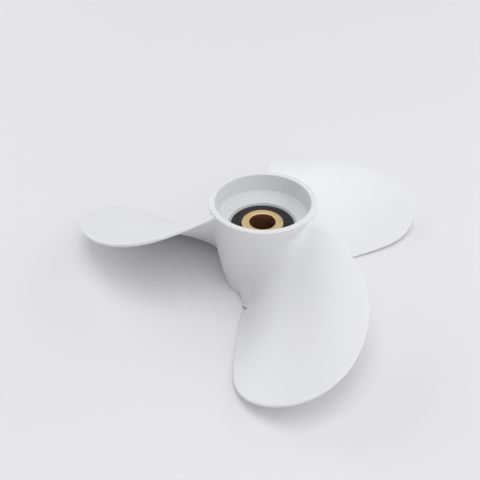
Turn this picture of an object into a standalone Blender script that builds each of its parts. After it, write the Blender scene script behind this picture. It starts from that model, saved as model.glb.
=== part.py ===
"""Three-bladed outboard boat propeller, 190 mm across, right-hand.

The propeller stands on its aft end, with the forward end and its cup upwards.
+Z runs along the shaft towards the boat, and the origin is on the shaft axis
at the height of the centre of volume. Lengths are in metres.

Three pieces, as on the real one: a casting of the hub with its blades,
a rubber bush bonded into the hub, and a brass sleeve bonded into the bush.
"""
from math import atan2, cos, degrees, hypot, pi, radians, sin, sqrt

import bmesh
import bpy
from mathutils import Vector

MM = 0.001

# Height of the centre of volume above the aft end of the hub
CENTRE_HEIGHT = 19.4 * MM

# Hub, measured up from its aft end
HUB_HEIGHT = 44.5 * MM
HUB_AFT_RADIUS = 17.5 * MM
HUB_FLARE = 10.6 * MM
HUB_BOW = 3.1 * MM
HUB_EDGE_ROUND = 0.6 * MM
HUB_SIDE_STEPS = 12

# Cup in the forward end, and the machined bore below it
CUP_MOUTH_RADIUS = 22.1 * MM
CUP_FLOOR_RADIUS = 21.5 * MM
CUP_DEPTH = 11.0 * MM
CUP_FILLET = 3.0 * MM
CUP_DISH = 1.6 * MM
BORE_RADIUS = 15.1 * MM
BORE_LIP = 0.5 * MM

# Rubber bush and brass sleeve
SEAT_GAP = 0.3 * MM
RUBBER_TOP = 31.5 * MM
RUBBER_BOTTOM = 3.0 * MM
RUBBER_CHAMFER = 0.5 * MM
SLEEVE_RADIUS = 9.8 * MM
SLEEVE_TOP = 32.7 * MM
SLEEVE_BOTTOM = 1.5 * MM
SLEEVE_CHAMFER = 0.6 * MM
SHAFT_HOLE_RADIUS = 6.1 * MM
PIN_SLOT_WIDTH = 4.2 * MM
PIN_SLOT_DEPTH = 4.5 * MM

# Blades: the span fraction runs from 0 at ROOT_RADIUS to 1 at TIP_RADIUS
BLADE_COUNT = 3
FIRST_BLADE_ANGLE = -75.9
ROOT_RADIUS = 18.0 * MM
TIP_RADIUS = 95.0 * MM
ROOT_PITCH = 215.0 * MM
TIP_PITCH = 160.0 * MM
MIDDLE_HEIGHT = 18.3 * MM
RAKE = (-0.5 * MM, -18.2 * MM, 15.5 * MM)
SKEW_DEGREES = (40.5, -90.0, 43.4)
ROOT_HALF_WIDTH_DEGREES = 41.4
TIP_HALF_WIDTH_DEGREES = 22.9
WIDTH_BOW_DEGREES = -2.0
TIP_ROUNDNESS = 3.74

# Blade thickness, laid mostly on the forward side between the edges
ROOT_THICKNESS = 5.8 * MM
TIP_THICKNESS = 2.5 * MM
EDGE_THICKNESS = 1.5 * MM
TIP_THINNING = 8.0
FORWARD_BIAS = 0.85
ROOT_FILLET = 4.0 * MM

ROUND_SEGMENTS = 64
SPAN_STEPS = 18
CHORD_STEPS = 9
EDGE_STEPS = 4
LAST_SPAN = 0.9985


def clear_scene():
    for item in list(bpy.data.objects):
        bpy.data.objects.remove(item, do_unlink=True)


def paint(name, colour, roughness, metallic):
    material = bpy.data.materials.new(name)
    material.use_nodes = True
    shader = material.node_tree.nodes["Principled BSDF"]
    shader.inputs["Base Color"].default_value = (*colour, 1.0)
    shader.inputs["Roughness"].default_value = roughness
    shader.inputs["Metallic"].default_value = metallic
    return material


def link_mesh(name, shape, material=None):
    """Make an object of a bmesh, at its place above the aft end of the hub."""
    bmesh.ops.recalc_face_normals(shape, faces=shape.faces)
    mesh = bpy.data.meshes.new(name)
    shape.to_mesh(mesh)
    shape.free()
    item = bpy.data.objects.new(name, mesh)
    item.location = (0.0, 0.0, -CENTRE_HEIGHT)
    bpy.context.collection.objects.link(item)
    if material:
        mesh.materials.append(material)
    return item


def arc(centre, radius, start, end, steps):
    """Points on an arc in the (radius, height) plane, angles in degrees."""
    points = []
    for step in range(steps + 1):
        angle = radians(start + (end - start) * step / steps)
        points.append((centre[0] + radius * cos(angle), centre[1] + radius * sin(angle)))
    return points


def turned(profile, touches_axis=False):
    """Spin a (radius, height) outline about the shaft axis into a closed solid."""
    shape = bmesh.new()
    verts = [shape.verts.new((radius, 0.0, height)) for radius, height in profile]
    edges = [shape.edges.new(pair) for pair in zip(verts, verts[1:])]
    if not touches_axis:
        edges.append(shape.edges.new((verts[-1], verts[0])))
    bmesh.ops.spin(shape, geom=verts + edges, cent=(0, 0, 0), axis=(0, 0, 1),
                   angle=2 * pi, steps=ROUND_SEGMENTS, use_merge=True)
    bmesh.ops.remove_doubles(shape, verts=shape.verts, dist=1e-6)
    return shape


def hub_radius(height):
    """Outer radius of the hub: a taper that bows out towards the cup."""
    share = min(max(height / HUB_HEIGHT, 0.0), 1.0)
    return HUB_AFT_RADIUS + HUB_FLARE * share - HUB_BOW * share * share


def hub_outline():
    """Outside of the hub as a solid turning, from the axis up and back to it."""
    low = HUB_EDGE_ROUND
    high = HUB_HEIGHT - HUB_EDGE_ROUND
    points = [(0.0, 0.0)]
    points += arc((hub_radius(low) - low, low), low, -90, 0, 3)[:-1]
    for step in range(HUB_SIDE_STEPS + 1):
        height = low + (high - low) * step / HUB_SIDE_STEPS
        points.append((hub_radius(height), height))
    points += arc((hub_radius(high) - low, high), low, 0, 90, 3)[1:]
    points.append((0.0, HUB_HEIGHT))
    return points


def core_outline():
    """What is cut out of the hub: the cup with its dished floor, then the bore."""
    over = 5.0 * MM
    floor = HUB_HEIGHT - CUP_DEPTH
    lip_height = floor - CUP_DISH
    lip_radius = BORE_RADIUS + BORE_LIP
    slope = degrees(atan2(CUP_DISH, CUP_FLOOR_RADIUS - lip_radius))
    fillet_centre = (CUP_FLOOR_RADIUS - CUP_FILLET, floor + CUP_FILLET)
    points = [(0.0, -over), (BORE_RADIUS, -over)]
    points += [(BORE_RADIUS, lip_height - BORE_LIP), (lip_radius, lip_height)]
    points += arc(fillet_centre, CUP_FILLET, slope - 90, 0, 4)
    round_start = HUB_HEIGHT - HUB_EDGE_ROUND
    points += [(CUP_MOUTH_RADIUS, round_start)]
    points += [(CUP_MOUTH_RADIUS + HUB_EDGE_ROUND, HUB_HEIGHT + 0.1 * MM)]
    points += [(CUP_MOUTH_RADIUS + HUB_EDGE_ROUND, HUB_HEIGHT + over), (0.0, HUB_HEIGHT + over)]
    return points


def powers(factors, share):
    """Sum of factors times share, share squared, share cubed."""
    return sum(factor * share ** (power + 1) for power, factor in enumerate(factors))


def half_width(share):
    """Half the angle that the blade covers, closing to nothing at the tip."""
    share = max(share, 0.0)
    straight = ROOT_HALF_WIDTH_DEGREES + (TIP_HALF_WIDTH_DEGREES - ROOT_HALF_WIDTH_DEGREES) * share
    bowed = straight + WIDTH_BOW_DEGREES * share * (1.0 - share)
    return radians(bowed) * sqrt(max(1.0 - share ** TIP_ROUNDNESS, 0.0))


def rise(share):
    """Height gained for each radian turned, from the pitch at this span."""
    return (ROOT_PITCH + (TIP_PITCH - ROOT_PITCH) * share) / (2 * pi)


def blade_height(radius, turn):
    """Height of the blade's middle surface: a helicoid with rake."""
    share = (radius - ROOT_RADIUS) / (TIP_RADIUS - ROOT_RADIUS)
    return MIDDLE_HEIGHT + rise(share) * turn + powers(RAKE, share)


def middle_point(span, chord):
    """Radius and turn of a point: span 0 on the hub to 1 at the tip, chord -1 aft to 1 forward."""
    radius = ROOT_RADIUS
    for _ in range(4):
        share = (radius - ROOT_RADIUS) / (TIP_RADIUS - ROOT_RADIUS)
        turn = radians(powers(SKEW_DEGREES, share)) + chord * half_width(share)
        wall = hub_radius(blade_height(radius, turn))
        radius = wall + (TIP_RADIUS - wall) * span
    return radius, turn


def surface_point(radius, turn):
    return Vector((radius * cos(turn), radius * sin(turn), blade_height(radius, turn)))


def surface_normal(radius, turn):
    """Unit normal of the middle surface, pointing forward."""
    step = 0.01 * MM
    turn_step = step / radius
    along = surface_point(radius + step, turn) - surface_point(radius - step, turn)
    around = surface_point(radius, turn + turn_step) - surface_point(radius, turn - turn_step)
    return along.cross(around).normalized()


def chord_places(half_chord):
    """Chord fractions from the trailing to the leading edge, each with its edge rounding."""
    edge = min(EDGE_THICKNESS / 2 / half_chord, 0.5)
    places = []
    for step in range(EDGE_STEPS):
        angle = radians(90.0 * step / EDGE_STEPS)
        places.append((-1.0 + edge * (1.0 - cos(angle)), sin(angle)))
    for step in range(CHORD_STEPS):
        places.append(((1.0 - edge) * (2.0 * step / (CHORD_STEPS - 1) - 1.0), 1.0))
    return places + [(-place, rounding) for place, rounding in reversed(places[:EDGE_STEPS])]


def fillet_thickness(distance):
    """Extra half thickness of a quarter-round fillet, this far out from the hub."""
    inside = min(max(ROOT_FILLET - distance, 0.0), ROOT_FILLET)
    return ROOT_FILLET - sqrt(ROOT_FILLET ** 2 - inside ** 2)


def half_thickness(span, chord, distance):
    """Thickness of the blade forward and aft of a point of the middle surface."""
    span = min(max(span, 0.0), 1.0)
    middle = ROOT_THICKNESS + (TIP_THICKNESS - ROOT_THICKNESS) * span ** 0.7
    crown = (1.0 - chord * chord) * (1.0 - span ** TIP_THINNING)
    even = (EDGE_THICKNESS + (middle - EDGE_THICKNESS) * crown) / 2
    lean = FORWARD_BIAS * crown
    fillet = fillet_thickness(distance) * crown
    return even * (1.0 + lean) + fillet, even * (1.0 - lean) + fillet


def section(span):
    """One closed loop of points round the blade at this span."""
    middle_radius, _ = middle_point(span, 0.0)
    share = (middle_radius - ROOT_RADIUS) / (TIP_RADIUS - ROOT_RADIUS)
    forward, aft = [], []
    for chord, rounding in chord_places(middle_radius * half_width(share)):
        radius, turn = middle_point(span, chord)
        distance = radius - hub_radius(blade_height(radius, turn))
        half_forward, half_aft = half_thickness(span, chord, distance)
        centre = surface_point(radius, turn)
        normal = surface_normal(radius, turn) * rounding
        forward.append(centre + normal * half_forward)
        aft.append(centre - normal * half_aft)
    return forward + aft[-2:0:-1]


def blade(number):
    """One blade lofted through its sections, its root reaching into the hub."""
    spans = [-0.06]
    spans += [LAST_SPAN * (1 - cos(pi * step / SPAN_STEPS)) / 2 for step in range(SPAN_STEPS + 1)]
    shape = bmesh.new()
    loops = [[shape.verts.new(point) for point in section(span)] for span in spans]
    for inner, outer in zip(loops, loops[1:]):
        for here in range(len(inner)):
            before = here - 1
            shape.faces.new((inner[before], inner[here], outer[here], outer[before]))
    shape.faces.new(loops[0])
    shape.faces.new(reversed(loops[-1]))
    turn = radians(FIRST_BLADE_ANGLE + 360.0 / BLADE_COUNT * number)
    for vert in shape.verts:
        x, y, height = vert.co
        vert.co = (x * cos(turn) - y * sin(turn), x * sin(turn) + y * cos(turn), height)
    return shape


def block(centre, size):
    """A plain box, placed by its middle and its three side lengths."""
    shape = bmesh.new()
    bmesh.ops.create_cube(shape, size=1.0)
    for vert in shape.verts:
        vert.co = [middle + side * place for middle, side, place in zip(centre, size, vert.co)]
    return shape


def combine(item, other, operation):
    """Join or cut with another object, which is then only a guide."""
    modifier = item.modifiers.new(operation.lower(), "BOOLEAN")
    modifier.operation = operation
    modifier.solver = "EXACT"
    modifier.object = other
    other.hide_render = True
    other.display_type = "WIRE"


def smooth(item, angle):
    item.data.shade_smooth()
    item.data.set_sharp_from_angle(angle=radians(angle))


def make_casting():
    """Hub and blades in one piece, bored out and faced off level at the aft end."""
    enamel = paint("white_enamel", (0.86, 0.87, 0.88), 0.25, 0.0)
    casting = link_mesh("hub_and_blades_casting", turned(hub_outline(), touches_axis=True), enamel)
    for number in range(BLADE_COUNT):
        combine(casting, link_mesh(f"blade_guide_{number + 1}", blade(number)), "UNION")
    combine(casting, link_mesh("core_cutter", turned(core_outline(), touches_axis=True)), "DIFFERENCE")
    width = 2.4 * TIP_RADIUS
    depth = HUB_HEIGHT
    facing = block((0.0, 0.0, -depth / 2), (width, width, depth))
    combine(casting, link_mesh("facing_cutter", facing), "DIFFERENCE")
    smooth(casting, 35)


def ring_outline(inner, outer, bottom, top, chamfer):
    """Section of a tube with its four edges chamfered."""
    return [
        (inner + chamfer, bottom), (outer - chamfer, bottom), (outer, bottom + chamfer),
        (outer, top - chamfer), (outer - chamfer, top), (inner + chamfer, top),
        (inner, top - chamfer), (inner, bottom + chamfer),
    ]


def make_bush():
    rubber = paint("black_rubber", (0.035, 0.04, 0.05), 0.7, 0.0)
    outline = ring_outline(SLEEVE_RADIUS + SEAT_GAP, BORE_RADIUS - SEAT_GAP,
                           RUBBER_BOTTOM, RUBBER_TOP, RUBBER_CHAMFER)
    smooth(link_mesh("rubber_bush", turned(outline), rubber), 35)


def make_sleeve():
    """Sleeve that slides on the shaft, slotted across its aft end for the drive pin."""
    brass = paint("brass", (0.72, 0.52, 0.27), 0.35, 1.0)
    outline = ring_outline(SHAFT_HOLE_RADIUS, SLEEVE_RADIUS, SLEEVE_BOTTOM, SLEEVE_TOP, SLEEVE_CHAMFER)
    sleeve = link_mesh("brass_sleeve", turned(outline), brass)
    slot_middle = SLEEVE_BOTTOM + PIN_SLOT_DEPTH / 2
    over = 2.0 * MM
    slot = block((0.0, 0.0, slot_middle - over / 2),
                 (3 * SLEEVE_RADIUS, PIN_SLOT_WIDTH, PIN_SLOT_DEPTH + over))
    combine(sleeve, link_mesh("pin_slot_cutter", slot), "DIFFERENCE")
    smooth(sleeve, 35)


clear_scene()
make_casting()
make_bush()
make_sleeve()
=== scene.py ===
"""Outboard boat propeller, 190 mm across: the finish of its casting, bush and sleeve.

The propeller stands on its aft end, +Z towards the boat. The casting is one closed
skin: each blade's skin runs down over a root fillet and out over its third of the
hub, and turned rings carry on from there over the rim into the cup and the bore.
Lengths are in metres, and heights in the shape functions start at the aft end.
"""
from math import cos, pi, radians, sin

import bmesh
import bpy
import numpy as np
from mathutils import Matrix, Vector


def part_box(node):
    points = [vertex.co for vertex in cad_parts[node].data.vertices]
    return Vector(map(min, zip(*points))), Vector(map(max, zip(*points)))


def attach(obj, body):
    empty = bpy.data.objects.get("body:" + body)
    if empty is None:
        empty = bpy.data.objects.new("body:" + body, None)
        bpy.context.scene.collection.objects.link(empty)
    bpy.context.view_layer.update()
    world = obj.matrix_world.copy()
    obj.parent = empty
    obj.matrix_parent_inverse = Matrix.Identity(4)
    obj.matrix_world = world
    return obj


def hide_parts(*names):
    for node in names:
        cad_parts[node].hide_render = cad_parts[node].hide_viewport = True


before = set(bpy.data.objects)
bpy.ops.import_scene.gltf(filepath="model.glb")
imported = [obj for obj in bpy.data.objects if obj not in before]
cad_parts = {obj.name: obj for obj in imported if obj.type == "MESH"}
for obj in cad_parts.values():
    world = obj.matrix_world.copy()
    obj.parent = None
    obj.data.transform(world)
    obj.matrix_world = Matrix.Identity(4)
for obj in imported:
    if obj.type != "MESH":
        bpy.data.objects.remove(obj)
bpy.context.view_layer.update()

MM = 0.001
CASTING = "hub_and_blades_casting"
BUSH = "rubber_bush"
SLEEVE = "brass_sleeve"

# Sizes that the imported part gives
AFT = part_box(CASTING)[0][2]
HUB_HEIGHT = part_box(CASTING)[1][2] - AFT
RUBBER_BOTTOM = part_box(BUSH)[0][2] - AFT
RUBBER_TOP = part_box(BUSH)[1][2] - AFT
SLEEVE_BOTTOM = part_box(SLEEVE)[0][2] - AFT
SLEEVE_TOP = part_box(SLEEVE)[1][2] - AFT
RUBBER_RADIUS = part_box(BUSH)[1][0]
SLEEVE_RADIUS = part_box(SLEEVE)[1][0]

# Hub: outside, cup, bore, and the groove round the bush
HUB_AFT_RADIUS = 17.5 * MM
HUB_FLARE = 10.6 * MM
HUB_BOW = 3.1 * MM
RIM_ROUND = 0.6 * MM
AFT_ROUND = 0.25 * MM
CUP_MOUTH_RADIUS = 22.1 * MM
CUP_FLOOR_RADIUS = 21.5 * MM
CUP_DEPTH = 11.0 * MM
CUP_FILLET = 3.0 * MM
CUP_DISH = 1.6 * MM
BORE_RADIUS = 14.95 * MM
BORE_LIP = 0.3 * MM
BORE_ROUND = 0.1 * MM
BORE_CHAMFER = (0.4 * MM, 0.5 * MM)
GROOVE_RADIUS = BORE_RADIUS + BORE_LIP + 0.3 * MM
GROOVE_DEPTH = 0.12 * MM
GROOVE_HALF_WIDTH = 0.12 * MM

# Bush and sleeve
BUSH_GAP = 0.15 * MM
SHAFT_HOLE_RADIUS = 6.1 * MM
PIN_SLOT_WIDTH = 4.2 * MM
PIN_SLOT_DEPTH = 4.5 * MM

# Blades, with the span share from 0 at ROOT_RADIUS to 1 at TIP_RADIUS
BLADE_COUNT = 3
FIRST_BLADE_ANGLE = radians(-75.9)
ROOT_RADIUS = 18.0 * MM
TIP_RADIUS = 94.85 * MM
ROOT_PITCH = 215.0 * MM
TIP_PITCH = 160.0 * MM
MIDDLE_HEIGHT = 18.3 * MM
RAKE = (-0.5 * MM, -18.2 * MM, 15.5 * MM)
SKEW = (radians(40.5), radians(-90.0), radians(43.4))
ROOT_HALF_WIDTH = radians(41.4)
TIP_HALF_WIDTH = radians(22.9)
WIDTH_BOW = radians(-2.0)
TIP_ROUNDNESS = 3.74
ROOT_THICKNESS = 5.8 * MM
TIP_THICKNESS = 2.5 * MM
THICKNESS_TAPER = 0.7
TIP_THINNING = 8.0
EDGE_THICKNESS = 1.5 * MM
FORWARD_BIAS = 0.85

# Root fillet: how far it runs out on the hub beside each face, and round the leading edge
FILLET_SPAN = 0.12
FORWARD_FILLET = 7.0 * MM
AFT_FILLET = 2.0 * MM
EDGE_FILLET = 0.8 * MM
TRAILING_START = 6.5 * MM
TRAILING_GROWTH = 1.6
TRAILING_FLAT = 10.0 * MM
FULL_FILLET_GAP = 16.0 * MM
LEVEL_FOOT = 8.0 * MM
RIM_CLEARANCE = 0.4 * MM

# Mesh: counts, weld distance, sharp angle, rounds of the two searches, and spacing
EDGE_COLUMNS = 6
INNER_COLUMNS = 54
SIDE_COLUMNS = 42
BLADE_ROWS = 84
FILLET_ROWS = 10
HUB_ROWS = 18
TURN_SEGMENTS = 192
WELD = 0.002 * MM
SHARP_ANGLE = radians(32.0)
SETTLING_ROUNDS = 6
HALVINGS = 40
CHORD_ABOVE_AFT = 0.4
WIDEST_EDGE_SHARE = 0.45
BUNCHED_SHARE = 0.75
BUNCHING = 1.35

# Enamel: two tones of its skin, painted shade on the cup's turned floor and a cool painted shade on its
# wall, and a painted shade line along the groove round the bush
ENAMEL_SHADE = (0.785, 0.788, 0.80, 1.0)
ENAMEL_LIGHT = (0.815, 0.818, 0.83, 1.0)
CUP_PAINTED_SHADE = (0.655, 0.665, 0.685, 1.0)
CUP_WALL_PAINTED_SHADE = (0.775, 0.80, 0.822, 1.0)
GROOVE_PAINTED_SHADE = (0.22, 0.22, 0.23, 1.0)

# Nick and burr at the foot of the near blade's trailing edge, in mm from the middle of the aft end; the
# nick's dark colour is a painted shadow, the burr's bright colour a painted highlight
NICK_LINE = ((-9.3, -23.3, 0.3), (-7.6, -28.9, 3.9))
NICK_PAINTED_SHADOW = (0.26, 0.26, 0.27, 1.0)
BURR_LINE = ((-8.6, -24.4, 2.1), (-7.5, -26.8, 3.8))
BURR_PAINTED_HIGHLIGHT = (0.95, 0.95, 0.95, 1.0)

# Table top, a little below the aft end so that the two don't share a plane
FLOOR_HALF = 3.0
FLOOR_DROP = 0.02 * MM
FLOOR_SHADE = (0.793, 0.788, 0.806, 1.0)
FLOOR_LIGHT = (0.808, 0.803, 0.821, 1.0)

# Camera: 37.4 degrees down on the hub, from 0.43 m away
CAMERA_PLACE = (-10.5 * MM, -327.5 * MM, 272.2 * MM)
CAMERA_DOWN = 37.41
LENS_MM = 65.24
SENSOR_MM = 36.0

# Lights: degrees around from +X, degrees above the table, and watts
WORLD_STRENGTH = 0.2
SOFTBOX_SIZE = 1.1
SOFTBOX_DISTANCE = 1.5
SOFTBOXES = {
    "overhead": (0.0, 90.0, 8.2),
    "right": (0.0, 22.0, 3.0),
    "back_right": (45.0, 22.0, 5.0),
    "back_left": (135.0, 22.0, 7.9),
    "left": (180.0, 22.0, 1.1),
    "front": (270.0, 50.0, 5.2),
    "front_right_low": (315.0, 22.0, 3.5),
    "front_right": (315.0, 50.0, 1.7),
}


def powers(factors, share):
    """Sum of factors times share, share squared, share cubed."""
    return sum(factor * share ** (power + 1) for power, factor in enumerate(factors))


def slope_of_powers(factors, share):
    """How fast that sum grows with the share."""
    return sum(factor * (power + 1) * share ** power for power, factor in enumerate(factors))


def hub_wall(height):
    """Outer radius: aft radius + flare * h - bow * h squared, with h the share of the height."""
    share = np.clip(height / HUB_HEIGHT, 0.0, 1.0)
    return HUB_AFT_RADIUS + HUB_FLARE * share - HUB_BOW * share ** 2


def aft_round(height):
    """How far the quarter round at the aft edge draws the wall in."""
    below = 1.0 - np.clip(height / AFT_ROUND, 0.0, 1.0)
    return AFT_ROUND * (1.0 - np.sqrt(1.0 - below ** 2))


def open_width(share):
    """Half the angle a blade would cover without its round tip."""
    straight = ROOT_HALF_WIDTH + (TIP_HALF_WIDTH - ROOT_HALF_WIDTH) * share
    return straight + WIDTH_BOW * share * (1.0 - share)


def tip_close(share):
    """1 - share to the power of the tip's roundness, which closes the outline."""
    return np.clip(1.0 - np.clip(share, 0.0, 1.0) ** TIP_ROUNDNESS, 0.0, 1.0)


def rise(share):
    """Height gained for each radian turned, from the pitch at this span."""
    return (ROOT_PITCH + (TIP_PITCH - ROOT_PITCH) * share) / (2 * pi)


def blade_share(radius):
    """Span share from 0 at the root radius to 1 at the tip."""
    return np.clip((radius - ROOT_RADIUS) / (TIP_RADIUS - ROOT_RADIUS), 0.0, 1.0)


def blade_height(radius, turn):
    """Helicoid with rake: middle height + rise * turn + rake of the span share."""
    share = blade_share(radius)
    return MIDDLE_HEIGHT + rise(share) * turn + powers(RAKE, share)


def blade_place(span, chord):
    """Radius and turn of a middle point: span 0 on the hub wall to 1 at the tip,
    chord -1 at the trailing edge to 1 at the leading edge."""
    span, chord = np.broadcast_arrays(span, chord)
    radius = np.full(span.shape, ROOT_RADIUS)
    for _ in range(SETTLING_ROUNDS):
        share = blade_share(radius)
        turn = powers(SKEW, share) + chord * open_width(share) * np.sqrt(tip_close(share))
        wall = hub_wall(blade_height(radius, turn))
        radius = wall + (TIP_RADIUS - wall) * span
    return radius, turn


def edge_distance(radius, chord):
    """Distance in from the outline: F / |slope of F|, F = (1 - share^n)(1 - chord^2)."""
    share = blade_share(radius)
    closing = tip_close(share)
    along = TIP_ROUNDNESS * share ** (TIP_ROUNDNESS - 1.0) / (TIP_RADIUS - ROOT_RADIUS)
    across = 2.0 * chord * np.sqrt(closing) / (open_width(share) * radius)
    return closing * (1.0 - chord ** 2) / np.sqrt(along ** 2 + across ** 2 + 1e-9)


def half_thickness(radius, span, chord, side):
    """Half thickness: edge + crown, rounded to nothing over the last half edge width."""
    span = np.clip(span, 0.0, 1.0)
    middle = ROOT_THICKNESS + (TIP_THICKNESS - ROOT_THICKNESS) * span ** THICKNESS_TAPER
    crown = (1.0 - chord ** 2) * (1.0 - span ** TIP_THINNING)
    plain = (EDGE_THICKNESS + (middle - EDGE_THICKNESS) * crown) / 2
    inside = np.clip(edge_distance(radius, chord) / (EDGE_THICKNESS / 2), 0.0, 1.0)
    rounding = np.sqrt(1.0 - (1.0 - inside) ** 2)
    return plain * rounding * (1.0 + side * FORWARD_BIAS * crown)


def blade_face(span, chord, side):
    """Points on one face: middle surface + side * normal * half thickness.
    The normal is the cross product of the helicoid's slopes along and around."""
    radius, turn = blade_place(span, chord)
    share = blade_share(radius)
    reach = TIP_RADIUS - ROOT_RADIUS
    along = slope_of_powers(RAKE, share) / reach + (TIP_PITCH - ROOT_PITCH) / (2 * pi) / reach * turn
    around = rise(share)
    normal = np.stack([
        np.sin(turn) * around - np.cos(turn) * radius * along,
        -np.cos(turn) * around - np.sin(turn) * radius * along,
        radius,
    ], axis=-1)
    normal /= np.linalg.norm(normal, axis=-1, keepdims=True)
    middle = np.stack([radius * np.cos(turn), radius * np.sin(turn), blade_height(radius, turn)], axis=-1)
    half = half_thickness(radius, span, chord, side)
    return middle + side * normal * half[..., None]


def chord_grid(edge_share):
    """Chord places for each row: a quarter-cosine zone at both edges, even steps between."""
    quarter = 1.0 - np.cos(np.linspace(0.0, pi / 2, EDGE_COLUMNS + 1))
    inner = np.linspace(-1.0, 1.0, INNER_COLUMNS + 1)[1:-1]
    low = -1.0 + edge_share * quarter
    high = 1.0 - edge_share * quarter[::-1]
    return np.concatenate([low, (1.0 - edge_share) * inner[None, :], high], axis=1)


def lowest_chord(span, edge_share, side):
    """Where each row meets the plane of the aft end, found by halving; -1 where it stays above."""
    start = np.where(side > 0, -1.0, -1.0 + edge_share)
    buried = blade_face(span, start, side)[..., 2] < 0.0
    low = start.copy()
    high = np.full_like(start, CHORD_ABOVE_AFT)
    for _ in range(HALVINGS):
        middle = (low + high) / 2
        under = blade_face(span, middle, side)[..., 2] < 0.0
        low = np.where(under, middle, low)
        high = np.where(under, high, middle)
    return np.where(buried, high, -1.0)


def blade_rows(span):
    """Closed skin of a blade in rows: up the aft face from the trailing edge, down the forward face."""
    span = np.asarray(span, dtype=float)[:, None]
    radius, _ = blade_place(span, 0.0 * span)
    share = blade_share(radius)
    chord_length = np.maximum(radius * open_width(share) * np.sqrt(tip_close(share)), 1e-6)
    edge_share = np.minimum(EDGE_THICKNESS / 2 / chord_length, WIDEST_EDGE_SHARE)
    faces = []
    for side in (-1.0, 1.0):
        low = lowest_chord(span, edge_share, side)
        chord = low + (chord_grid(edge_share) + 1.0) / 2 * (1.0 - low)
        points = blade_face(span, chord, side)
        points[..., 2] = np.maximum(points[..., 2], 0.0)
        faces.append(points)
    return np.concatenate([faces[0], faces[1][:, -2::-1]], axis=1)


def on_hub(turn, height):
    """Points on the outside of the hub at these angles and heights."""
    radius = hub_wall(height) - aft_round(height)
    return np.stack([radius * np.cos(turn), radius * np.sin(turn), height], axis=-1)


def ease(value):
    """Smooth step from 0 to 1: 3 v squared - 2 v cubed."""
    value = np.clip(value, 0.0, 1.0)
    return value * value * (3.0 - 2.0 * value)


def sector_edge(columns, top):
    """Angle and height of the border of one blade's third of the hub, column by column:
    up the helix 60 degrees aft of the blade, round the rim, down the helix forward of it."""
    third = pi / BLADE_COUNT
    climb = np.linspace(0.0, 1.0, SIDE_COLUMNS + 1)
    climb = ((1.0 - BUNCHED_SHARE) * climb + BUNCHED_SHARE * climb ** BUNCHING) * top
    middle = (climb - MIDDLE_HEIGHT) / rise(0.0)
    across = np.linspace(third, -third, columns - 2 * SIDE_COLUMNS)[1:-1]
    rim_turn = (top - MIDDLE_HEIGHT) / rise(0.0) + across
    turn = np.concatenate([middle + third, rim_turn, middle[::-1] - third])
    height = np.concatenate([climb, np.full(rim_turn.shape, top), climb[::-1]])
    return turn, height


def root_rows(rows, top):
    """Skin from the blade's foot to the border of its third of the hub.
    The fillet is a quadratic curve: blade edge, corner on the wall, point out on the wall.
    From there straight lines in the (angle, height) plane lead to the border."""
    blade_end = rows[0]
    foot = blade_rows([0.0])[0]
    turn = np.unwrap(np.arctan2(foot[:, 1], foot[:, 0]))
    height = foot[:, 2].copy()
    wall = hub_wall(height)
    step_turn = np.gradient(turn) * wall
    step_height = np.gradient(height)
    length = np.maximum(np.hypot(step_turn, step_height), 1e-9)
    out_turn, out_height = step_height / length, -step_turn / length
    out_height *= ease(height / LEVEL_FOOT)
    column = np.arange(len(turn))
    middle_column = (len(turn) - 1) / 2
    face_fillet = np.where(column > middle_column, FORWARD_FILLET, AFT_FILLET)
    edge_gap = np.minimum(height.max() - height, TRAILING_GROWTH * height + TRAILING_START)
    fillet = EDGE_FILLET + (face_fillet - EDGE_FILLET) * ease(edge_gap / FULL_FILLET_GAP)
    out_length = np.maximum(np.hypot(out_turn, out_height), 1e-9)
    edge_turn = turn + fillet * out_turn / out_length / wall
    edge_height = np.minimum(height + fillet * out_height / out_length, top - RIM_CLEARANCE)
    edge_height = np.where(height < 1e-7, 0.0, np.maximum(edge_height, 0.0))
    corner = np.stack([wall * np.cos(turn), wall * np.sin(turn), height], axis=-1)
    edge = on_hub(edge_turn, edge_height)
    flat = (ease(1.0 - height / TRAILING_FLAT) * (column > middle_column))[:, None]
    corner = corner + ((blade_end + edge) / 2 - corner) * flat
    step = np.linspace(0.0, 1.0, FILLET_ROWS + 1)[1:, None, None]
    bend = (1 - step) ** 2 * blade_end + 2 * step * (1 - step) * corner + step ** 2 * edge
    border_turn, border_height = sector_edge(len(turn), top)
    step = np.linspace(0.0, 1.0, HUB_ROWS + 1)[1:, None]
    wall_rows = on_hub(edge_turn + (border_turn - edge_turn) * step,
                       edge_height + (border_height - edge_height) * step)
    return np.concatenate([wall_rows[::-1], bend[::-1]], axis=0)


def grid_faces(rows, columns, first=0, wrap=False):
    """Quads between neighbouring rows and columns of a grid of points."""
    across = columns if wrap else columns - 1
    row, column = np.meshgrid(np.arange(rows - 1), np.arange(across), indexing="ij")
    after = (column + 1) % columns
    quads = [row * columns + column, row * columns + after,
             (row + 1) * columns + after, (row + 1) * columns + column]
    return first + np.stack(quads, axis=-1).reshape(-1, 4)


def arc(radius, height, size, start, end, steps):
    """Points of a round corner in the (radius, height) plane, angles in degrees."""
    angle = np.radians(np.linspace(start, end, steps + 1))
    return np.stack([radius + size * np.cos(angle), height + size * np.sin(angle)], axis=-1)


def line(start, end, steps):
    """Even steps from one (radius, height) to another, without the first point."""
    share = np.linspace(0.0, 1.0, steps + 1)[1:, None]
    return np.asarray(start) + (np.asarray(end) - np.asarray(start)) * share


def ring_points(profile, angles):
    """Turned surface: (radius cos a, radius sin a, height) for each profile point and angle."""
    radius, height = profile[:, 0][:, None], profile[:, 1][:, None]
    return np.stack([radius * np.cos(angles), radius * np.sin(angles), height + 0.0 * angles], axis=-1)


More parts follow.
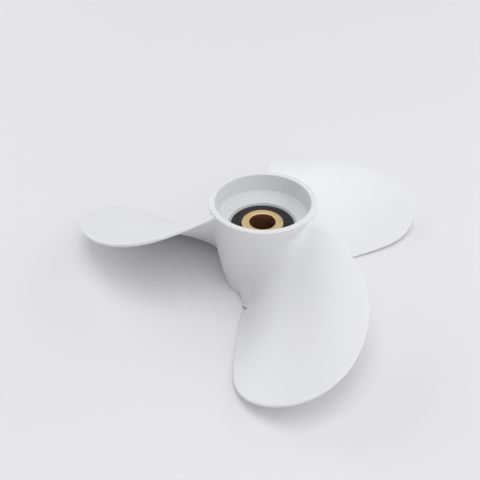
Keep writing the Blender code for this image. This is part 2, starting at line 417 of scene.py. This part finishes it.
def inside_profile(top):
    """From the outside of the rim over into the cup, in across the dished floor and the groove
    round the bush, and down the bore to its chamfer at the aft end."""
    floor = HUB_HEIGHT - CUP_DEPTH
    lip_height = floor - CUP_DISH
    lip_radius = BORE_RADIUS + BORE_LIP
    slope = np.degrees(np.arctan2(CUP_DISH, CUP_FLOOR_RADIUS - lip_radius))
    parts = [
        arc(hub_wall(top) - RIM_ROUND, top, RIM_ROUND, 0, 90, 7),
        arc(CUP_MOUTH_RADIUS + RIM_ROUND, HUB_HEIGHT - RIM_ROUND, RIM_ROUND, 90, 180, 7),
        line((CUP_MOUTH_RADIUS, HUB_HEIGHT - RIM_ROUND), (CUP_FLOOR_RADIUS, floor + CUP_FILLET), 10),
        arc(CUP_FLOOR_RADIUS - CUP_FILLET, floor + CUP_FILLET, CUP_FILLET, 0, slope - 90, 10)[1:],
    ]
    foot = parts[-1][-1]
    chamfer_out, chamfer_up = BORE_CHAMFER
    parts += [
        line(foot, (GROOVE_RADIUS + GROOVE_HALF_WIDTH, lip_height + GROOVE_HALF_WIDTH / 2), 12),
        np.array([(GROOVE_RADIUS, lip_height - GROOVE_DEPTH),
                  (GROOVE_RADIUS - GROOVE_HALF_WIDTH, lip_height)]),
        arc(BORE_RADIUS + BORE_ROUND, lip_height - BORE_ROUND, BORE_ROUND, 90, 180, 3),
        line((BORE_RADIUS, lip_height - BORE_ROUND), (BORE_RADIUS, chamfer_up), 12),
        line((BORE_RADIUS, chamfer_up), (BORE_RADIUS + chamfer_out, 0.0), 2),
    ]
    return np.concatenate(parts, axis=0)


def mesh_object(name, points, faces, material):
    """Make an object of points and quads: weld what meets, fill what is open, shade it smooth."""
    mesh = bpy.data.meshes.new(name)
    placed = np.asarray(points, dtype=float).reshape(-1, 3) + (0.0, 0.0, AFT)
    mesh.from_pydata(placed.tolist(), [], np.asarray(faces).tolist())
    shape = bmesh.new()
    shape.from_mesh(mesh)
    bmesh.ops.remove_doubles(shape, verts=shape.verts, dist=WELD)
    bmesh.ops.dissolve_degenerate(shape, edges=shape.edges, dist=WELD / 4)
    open_edges = [edge for edge in shape.edges if edge.is_boundary]
    if open_edges:
        bmesh.ops.triangle_fill(shape, edges=open_edges, use_beauty=True)
    bmesh.ops.recalc_face_normals(shape, faces=shape.faces)
    shape.to_mesh(mesh)
    shape.free()
    mesh.shade_smooth()
    mesh.set_sharp_from_angle(angle=SHARP_ANGLE)
    item = bpy.data.objects.new(name, mesh)
    bpy.context.collection.objects.link(item)
    mesh.materials.append(material)
    return item


def turned_about_shaft(points, angle):
    """The same points turned about the shaft axis."""
    x, y, z = points[..., 0], points[..., 1], points[..., 2]
    along, across = np.cos(angle), np.sin(angle)
    return np.stack([x * along - y * across, x * across + y * along, z], axis=-1)


def make_casting(material):
    """Three skins of blade, fillet and hub wall, and the turned inside that joins them."""
    top = HUB_HEIGHT - RIM_ROUND
    share = np.sin(np.linspace(0.0, pi / 2, BLADE_ROWS + 1))
    blade = blade_rows(FILLET_SPAN + (1.0 - FILLET_SPAN) * share)
    skin = np.concatenate([root_rows(blade, top), blade], axis=0)
    rows, columns = skin.shape[:2]
    seam_start = HUB_ROWS + FILLET_ROWS
    seam_rows = np.arange(seam_start, rows - 1)
    seam = np.stack([seam_rows * columns + columns - 1, seam_rows * columns,
                     (seam_rows + 1) * columns, (seam_rows + 1) * columns + columns - 1], axis=-1)
    border_turn, _ = sector_edge(columns, top)
    rim_turns = border_turn[SIDE_COLUMNS:columns - 1 - SIDE_COLUMNS]
    points, faces, angles = [], [], []
    for number in range(BLADE_COUNT):
        angle = FIRST_BLADE_ANGLE + number * 2 * pi / BLADE_COUNT
        first = len(points) * rows * columns
        points.append(turned_about_shaft(skin, angle).reshape(-1, 3))
        faces += [grid_faces(rows, columns, first), seam + first]
        angles.append(rim_turns + angle)
    angles = np.concatenate(angles[::-1])
    rings = ring_points(inside_profile(top), angles)
    first = len(points) * rows * columns
    points.append(rings.reshape(-1, 3))
    faces.append(grid_faces(rings.shape[0], rings.shape[1], first, wrap=True))
    return mesh_object("propeller_casting", np.concatenate(points), np.concatenate(faces), material)


def turned_piece(name, profile, material):
    """Closed profile of (radius, height) points turned about the shaft axis."""
    angles = np.arange(TURN_SEGMENTS) * 2 * pi / TURN_SEGMENTS
    closed = np.concatenate([profile, profile[:1]], axis=0)
    rings = ring_points(closed, angles)
    faces = grid_faces(rings.shape[0], rings.shape[1], wrap=True)
    return mesh_object(name, rings.reshape(-1, 3), faces, material)


def make_bush(material):
    """Rubber ring with rounded rims; its ends sink between the rims, as cured rubber does."""
    inner = SLEEVE_RADIUS + BUSH_GAP
    outer = RUBBER_RADIUS
    rim = 0.55 * MM
    sink = 0.35 * MM
    share = np.linspace(0.0, 1.0, 17)[1:-1]
    across = outer - rim + (inner - outer + 2 * rim) * share
    dip = sink * 4 * share * (1 - share)
    forward = np.stack([across, RUBBER_TOP - dip], axis=-1)
    aft = np.stack([across[::-1], RUBBER_BOTTOM + dip], axis=-1)
    profile = np.concatenate([
        line((outer, RUBBER_BOTTOM + rim), (outer, RUBBER_TOP - rim), 8),
        arc(outer - rim, RUBBER_TOP - rim, rim, 0, 90, 6)[1:],
        forward,
        arc(inner + rim, RUBBER_TOP - rim, rim, 90, 180, 6),
        line((inner, RUBBER_TOP - rim), (inner, RUBBER_BOTTOM + rim), 8),
        arc(inner + rim, RUBBER_BOTTOM + rim, rim, 180, 270, 6)[1:],
        aft,
        arc(outer - rim, RUBBER_BOTTOM + rim, rim, 270, 360, 6),
    ])
    return turned_piece("rubber_damper_bush", profile, material)


def make_sleeve(material):
    """Turned tube with a broad outer chamfer, softened corners and a narrow one at the hole."""
    outer_chamfer = 0.7 * MM
    inner_chamfer = 0.35 * MM
    soft = 0.12 * MM
    top, bottom = SLEEVE_TOP, SLEEVE_BOTTOM
    hole, outside = SHAFT_HOLE_RADIUS, SLEEVE_RADIUS
    profile = np.array([
        (outside, bottom + outer_chamfer), (outside, top - outer_chamfer - soft),
        (outside - soft * 0.4, top - outer_chamfer + soft * 0.4),
        (outside - outer_chamfer + soft * 0.4, top - soft * 0.4),
        (outside - outer_chamfer - soft, top), (hole + inner_chamfer + soft, top),
        (hole + inner_chamfer - soft * 0.4, top - soft * 0.4),
        (hole + soft * 0.4, top - inner_chamfer + soft * 0.4),
        (hole, top - inner_chamfer - soft), (hole, bottom + inner_chamfer),
        (hole + inner_chamfer, bottom), (outside - outer_chamfer, bottom),
    ])
    sleeve = turned_piece("brass_shaft_sleeve", profile, material)
    cut_pin_slot(sleeve)
    return sleeve


def cut_pin_slot(sleeve):
    """Mill the slot for the drive pin across the aft end."""
    over = 2.0 * MM
    half = np.array([1.5 * SLEEVE_RADIUS, PIN_SLOT_WIDTH / 2, (PIN_SLOT_DEPTH + over) / 2])
    middle = np.array([0.0, 0.0, SLEEVE_BOTTOM + (PIN_SLOT_DEPTH - over) / 2])
    signs = np.array([(x, y, z) for x in (-1, 1) for y in (-1, 1) for z in (-1, 1)])
    quads = [(0, 1, 3, 2), (4, 6, 7, 5), (0, 4, 5, 1), (2, 3, 7, 6), (0, 2, 6, 4), (1, 5, 7, 3)]
    cutter = mesh_object("pin_slot_cutter", middle + signs * half, quads, sleeve.data.materials[0])
    cut = sleeve.modifiers.new("pin_slot", "BOOLEAN")
    cut.operation = "DIFFERENCE"
    cut.object = cutter
    shaped = bpy.data.meshes.new_from_object(sleeve.evaluated_get(bpy.context.evaluated_depsgraph_get()))
    sleeve.modifiers.clear()
    sleeve.data = shaped
    bpy.data.objects.remove(cutter, do_unlink=True)
    sleeve.data.set_sharp_from_angle(angle=SHARP_ANGLE)


class Value:
    """A shader number. Arithmetic on it adds Math nodes."""

    def __init__(self, finish, socket):
        self.finish = finish
        self.socket = socket

    def math(self, operation, *terms):
        """A Math node over these terms, numbers or shader numbers."""
        return self.finish.node("ShaderNodeMath", {"operation": operation}, dict(enumerate(terms)))

    def __add__(self, other):
        return self.math("ADD", self, other)

    def __sub__(self, other):
        return self.math("SUBTRACT", self, other)

    def __rsub__(self, other):
        return self.math("SUBTRACT", other, self)

    def __mul__(self, other):
        return self.math("MULTIPLY", self, other)

    __radd__ = __add__
    __rmul__ = __mul__

    def above(self, low, high):
        """Smooth step from 0 at low to 1 at high."""
        return self.finish.node("ShaderNodeMapRange", {"interpolation_type": "SMOOTHSTEP"},
                                {"Value": self, "From Min": low, "From Max": high})


class Finish:
    """A material under construction, with one method that adds any node."""

    def __init__(self, name, **constants):
        self.material = bpy.data.materials.new(name)
        self.material.use_nodes = True
        self.tree = self.material.node_tree
        self.surface = self.tree.nodes["Principled BSDF"]
        self.feed(self.surface, constants)
        self.place = self.node("ShaderNodeTexCoord", output="Object")

    def feed(self, node, inputs):
        """Set or link sockets, by number or by name with underscores for spaces."""
        for key, term in dict(inputs).items():
            socket = node.inputs[key.replace("_", " ") if isinstance(key, str) else key]
            if isinstance(term, Value):
                self.tree.links.new(term.socket, socket)
            else:
                socket.default_value = term

    def node(self, kind, settings=None, inputs=None, output=0):
        """Add a node: its settings first, then the values or links of its sockets."""
        node = self.tree.nodes.new(kind)
        for key, setting in (settings or {}).items():
            setattr(node, key, setting)
        self.feed(node, inputs or {})
        return Value(self, node.outputs[output])

    def axis(self, letter):
        """One coordinate in the part's frame."""
        return self.node("ShaderNodeSeparateXYZ", inputs={0: self.place}, output=letter)

    def from_shaft(self):
        """Distance from the shaft axis."""
        flat = self.node("ShaderNodeVectorMath", {"operation": "MULTIPLY"},
                         {0: self.place, 1: (1.0, 1.0, 0.0)})
        return self.node("ShaderNodeVectorMath", {"operation": "LENGTH"}, {0: flat}, output="Value")

    def off_line(self, start, end):
        """Distance from the straight line between two points, in mm from the middle of the aft end."""
        start = np.array(start) * MM + (0.0, 0.0, AFT)
        run = np.array(end) * MM + (0.0, 0.0, AFT) - start
        from_start = self.node("ShaderNodeVectorMath", {"operation": "SUBTRACT"},
                               {0: self.place, 1: start.tolist()})
        along = self.node("ShaderNodeVectorMath", {"operation": "DOT_PRODUCT"},
                          {0: from_start, 1: (run / run.dot(run)).tolist()}, output="Value")
        along = self.node("ShaderNodeClamp", inputs={"Value": along})
        reached = self.node("ShaderNodeVectorMath", {"operation": "SCALE"},
                            {0: run.tolist(), "Scale": along})
        return self.node("ShaderNodeVectorMath", {"operation": "DISTANCE"}, {0: from_start, 1: reached},
                         output="Value")

    def noise(self, size, detail=3.0, roughness=0.5, seed=0.0):
        """Noise from 0 to 1 whose features are about this size in metres."""
        placed = self.node("ShaderNodeMapping", inputs={"Vector": self.place,
                                                        "Location": (seed, seed * 0.7, -seed)})
        return self.node("ShaderNodeTexNoise", inputs={"Vector": placed, "Scale": 1.0 / size,
                                                       "Detail": detail, "Roughness": roughness})

    def rings(self, width):
        """Turning marks: noise read along the distance from the shaft, in bands of this width."""
        spot = self.node("ShaderNodeCombineXYZ", inputs={0: self.from_shaft(), 1: 0.37, 2: 0.11})
        return self.node("ShaderNodeTexNoise", inputs={"Vector": spot, "Scale": 1.0 / width,
                                                       "Detail": 4.0, "Roughness": 0.6})

    def blend(self, share, first, second):
        """Colour between two, by a share."""
        return self.node("ShaderNodeMix", {"data_type": "RGBA"},
                         {"Factor": share, 6: first, 7: second}, output=2)

    def bump(self, height, distance, strength):
        """Normal bent by a height, where a height of 1 stands for this distance."""
        return self.node("ShaderNodeBump",
                         inputs={"Height": height, "Distance": distance, "Strength": strength})

    def done(self, **inputs):
        """Feed the surface and hand over the material."""
        self.feed(self.surface, inputs)
        return self.material


def shade(red, green, blue):
    """A colour given in the 0 to 255 steps of a picture, as light."""
    steps = np.array([red, green, blue]) / 255.0
    light = np.where(steps <= 0.04045, steps / 12.92, ((steps + 0.055) / 1.055) ** 2.4)
    return (*light.tolist(), 1.0)


def cup_floor_share(finish, height):
    """1 on the dished floor of the cup, fading out down the bore, up the wall and outwards."""
    lip, floor = HUB_HEIGHT - CUP_DEPTH - CUP_DISH, HUB_HEIGHT - CUP_DEPTH
    share = height.above(lip - 1.5 * MM, lip)
    share = share * (1.0 - height.above(floor + 0.6 * MM, floor + 2.0 * MM))
    return share * (1.0 - finish.from_shaft().above(CUP_FLOOR_RADIUS - 1.5 * MM, CUP_FLOOR_RADIUS))


def cup_wall_share(finish, height):
    """1 on the wall of the cup, fading out at the floor, at the rim and outside it."""
    floor, mouth = HUB_HEIGHT - CUP_DEPTH, CUP_MOUTH_RADIUS
    share = height.above(floor + 1.0 * MM, floor + 3.0 * MM)
    share = share * (1.0 - finish.from_shaft().above(mouth + 0.05 * MM, mouth + 0.25 * MM))
    return share * (1.0 - height.above(HUB_HEIGHT - 1.0 * MM, HUB_HEIGHT - 0.2 * MM))


def white_enamel():
    """Sprayed white enamel over a fine cast skin, with turning marks in the cup, painted shade on the
    cup's floor and wall, a painted shade line along the groove, and a painted shadow and highlight at the
    nick.
    """
    finish = Finish("white_enamel", IOR=1.5)
    tone = finish.noise(28.0 * MM, 3.0)
    speck = finish.noise(1.6 * MM, 4.0, seed=3.0)
    colour = finish.blend(tone * 0.7 + speck * 0.3, ENAMEL_SHADE, ENAMEL_LIGHT)
    peel = finish.noise(2.2 * MM, 2.0, seed=1.0)
    cast = finish.noise(0.7 * MM, 4.0, 0.6, seed=2.0)
    height = finish.axis("Z") - AFT
    in_cup = cup_floor_share(finish, height)
    turning = finish.rings(0.9 * MM)
    # Painted shade on the cup's floor, eased in bands along the turning marks.
    colour = finish.blend(in_cup * (1.15 - turning * 0.5), colour, CUP_PAINTED_SHADE)
    # Cool painted shade on the cup's wall.
    colour = finish.blend(cup_wall_share(finish, height), colour, CUP_WALL_PAINTED_SHADE)
    # Painted shade line along the groove round the bush, uneven along its length.
    off_groove = finish.from_shaft() - GROOVE_RADIUS
    groove_painted_shade = 1.0 - (off_groove * off_groove).above((0.1 * MM) ** 2, (0.25 * MM) ** 2)
    groove_painted_shade = groove_painted_shade * in_cup * (0.6 + finish.noise(3.0 * MM, 3.0, seed=7.0) * 0.6)
    colour = finish.blend(groove_painted_shade, colour, GROOVE_PAINTED_SHADE)
    # Nick and burr: a step in the bump, with a painted shadow along the nick and a painted highlight
    # along the burr.
    nick_and_painted_shadow = 1.0 - finish.off_line(*NICK_LINE).above(0.2 * MM, 0.65 * MM)
    burr_and_painted_highlight = 1.0 - finish.off_line(*BURR_LINE).above(0.2 * MM, 0.7 * MM)
    colour = finish.blend(burr_and_painted_highlight * (1.0 - nick_and_painted_shadow), finish.blend(nick_and_painted_shadow, colour, NICK_PAINTED_SHADOW), BURR_PAINTED_HIGHLIGHT)
    relief = peel * 0.35 + cast * 0.12 + turning * in_cup * 1.6 + (burr_and_painted_highlight - nick_and_painted_shadow) * 6.0
    rough = 0.33 + finish.noise(9.0 * MM, 3.0, seed=5.0) * 0.06
    return finish.done(Base_Color=colour, Roughness=rough, Normal=finish.bump(relief, 0.06 * MM, 0.6))


def black_rubber():
    """Moulded rubber: bluish black, dull, with fine grain and a little bloom."""
    finish = Finish("black_rubber", IOR=1.5)
    bloom = finish.noise(2.5 * MM, 4.0).above(0.45, 0.75)
    colour = finish.blend(bloom * 0.5, shade(24, 23, 25), shade(48, 46, 48))
    grain = finish.noise(0.35 * MM, 3.0, seed=4.0)
    rough = 0.46 + bloom * 0.2
    return finish.done(Base_Color=colour, Roughness=rough, Normal=finish.bump(grain, 0.04 * MM, 0.5))


def turned_brass():
    """Turned brass: fine rings on the end face, dull patches, a painted highlight on the outer chamfer,
    and a browned hole.
    """
    finish = Finish("turned_brass", Metallic=1.0)
    stain = finish.noise(3.0 * MM, 5.0, 0.6).above(0.35, 0.7)
    inside = 1.0 - finish.from_shaft().above(SHAFT_HOLE_RADIUS + 0.02 * MM, SHAFT_HOLE_RADIUS + 0.3 * MM)
    # Painted highlight: paler colour towards the outer chamfer.
    edge = finish.from_shaft().above(SLEEVE_RADIUS - 0.85 * MM, SLEEVE_RADIUS - 0.6 * MM)
    mottle = finish.noise(0.9 * MM, 4.0, 0.6, seed=6.0).above(0.4, 0.65)
    face = finish.blend(stain * 0.6 + mottle * 0.4, shade(255, 230, 178), shade(238, 204, 148))
    face = finish.blend(edge * 0.8, face, shade(255, 236, 204))
    colour = finish.blend(inside, face, shade(160, 122, 92))
    marks = finish.rings(0.22 * MM)
    rough = 0.42 + stain * 0.16 + marks * 0.1
    return finish.done(Base_Color=colour, Roughness=rough, Normal=finish.bump(marks, 0.02 * MM, 0.7))


def pale_table():
    """Matt white table with the faintest unevenness."""
    finish = Finish("pale_table")
    tone = finish.noise(600.0 * MM, 2.0)
    colour = finish.blend(tone, FLOOR_SHADE, FLOOR_LIGHT)
    return finish.done(Base_Color=colour, Roughness=0.65 + tone * 0.1)


def add_camera():
    """The photographer's view, from the front and above."""
    data = bpy.data.cameras.new("camera")
    data.lens = LENS_MM
    data.sensor_width = SENSOR_MM
    data.clip_start = 0.01
    camera = bpy.data.objects.new("camera", data)
    camera.location = (CAMERA_PLACE[0], CAMERA_PLACE[1], CAMERA_PLACE[2] + AFT)
    camera.rotation_euler = (radians(90.0 - CAMERA_DOWN), 0.0, 0.0)
    bpy.context.collection.objects.link(camera)
    bpy.context.scene.camera = camera


def add_softbox(name, around, above, power):
    """A square lamp at this angle around and above the part, turned to face it."""
    data = bpy.data.lights.new(name, "AREA")
    data.size = SOFTBOX_SIZE
    data.energy = power
    around, above = radians(around), radians(above)
    place = Vector((cos(around) * cos(above), sin(around) * cos(above), sin(above))) * SOFTBOX_DISTANCE
    lamp = bpy.data.objects.new(name, data)
    lamp.location = place
    lamp.rotation_euler = (-place).to_track_quat("-Z", "Y").to_euler()
    bpy.context.collection.objects.link(lamp)


def add_floor():
    """A wide level table top just under the aft end."""
    half, height = FLOOR_HALF, AFT - FLOOR_DROP
    corners = [(-half, -half, height), (half, -half, height), (half, half, height), (-half, half, height)]
    mesh = bpy.data.meshes.new("table_top")
    mesh.from_pydata(corners, [], [(0, 1, 2, 3)])
    mesh.materials.append(pale_table())
    floor = bpy.data.objects.new("table_top", mesh)
    bpy.context.collection.objects.link(floor)


def light_scene():
    """Soft lamps all round under a dim white surround, shown without a film curve."""
    world = bpy.data.worlds.new("studio")
    world.use_nodes = True
    world.node_tree.nodes["Background"].inputs["Color"].default_value = (1.0, 1.0, 1.0, 1.0)
    world.node_tree.nodes["Background"].inputs["Strength"].default_value = WORLD_STRENGTH
    bpy.context.scene.world = world
    for name, (around, above, power) in SOFTBOXES.items():
        add_softbox(name, around, above, power)
    bpy.context.scene.view_settings.view_transform = "Standard"


def dress(piece, node):
    """Put a finished piece in the place of its plain solid."""
    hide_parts(node)
    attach(piece, "root")


dress(make_casting(white_enamel()), CASTING)
dress(make_bush(black_rubber()), BUSH)
dress(make_sleeve(turned_brass()), SLEEVE)
add_floor()
add_camera()
light_scene()
